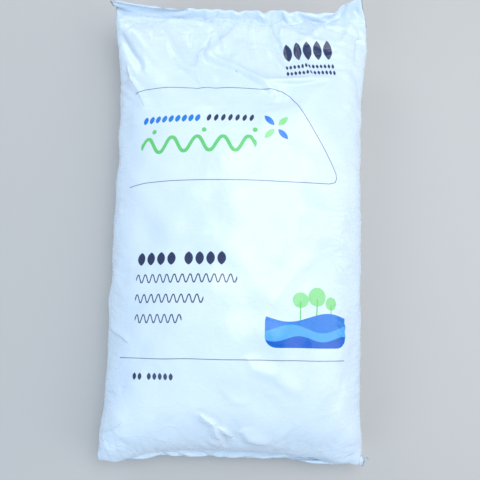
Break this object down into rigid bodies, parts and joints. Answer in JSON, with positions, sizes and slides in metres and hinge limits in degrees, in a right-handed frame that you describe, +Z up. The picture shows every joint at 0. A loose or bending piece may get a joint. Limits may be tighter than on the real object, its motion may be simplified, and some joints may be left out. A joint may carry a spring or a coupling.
{
  "type": "compost bag",
  "caption": "Full polythene sack of compost lying flat, a sealed pillow bag with a gathered heat-seal fin and small corner ears at each end.",
  "frame": {"origin": "middle of the bag's footprint, on the surface that it lies on", "axes": "+X across the bag, +Y along its length towards the head end, +Z up from the surface it lies on"},
  "size_m": [0.53, 0.892, 0.178],
  "materials": {
    "film": "smooth white polythene film with a soft satin gloss, fine wrinkles and printed fields of navy, blue and light green"
  },
  "bodies": {
    "root": {"bag": "film"}
  },
  "joints": []
}
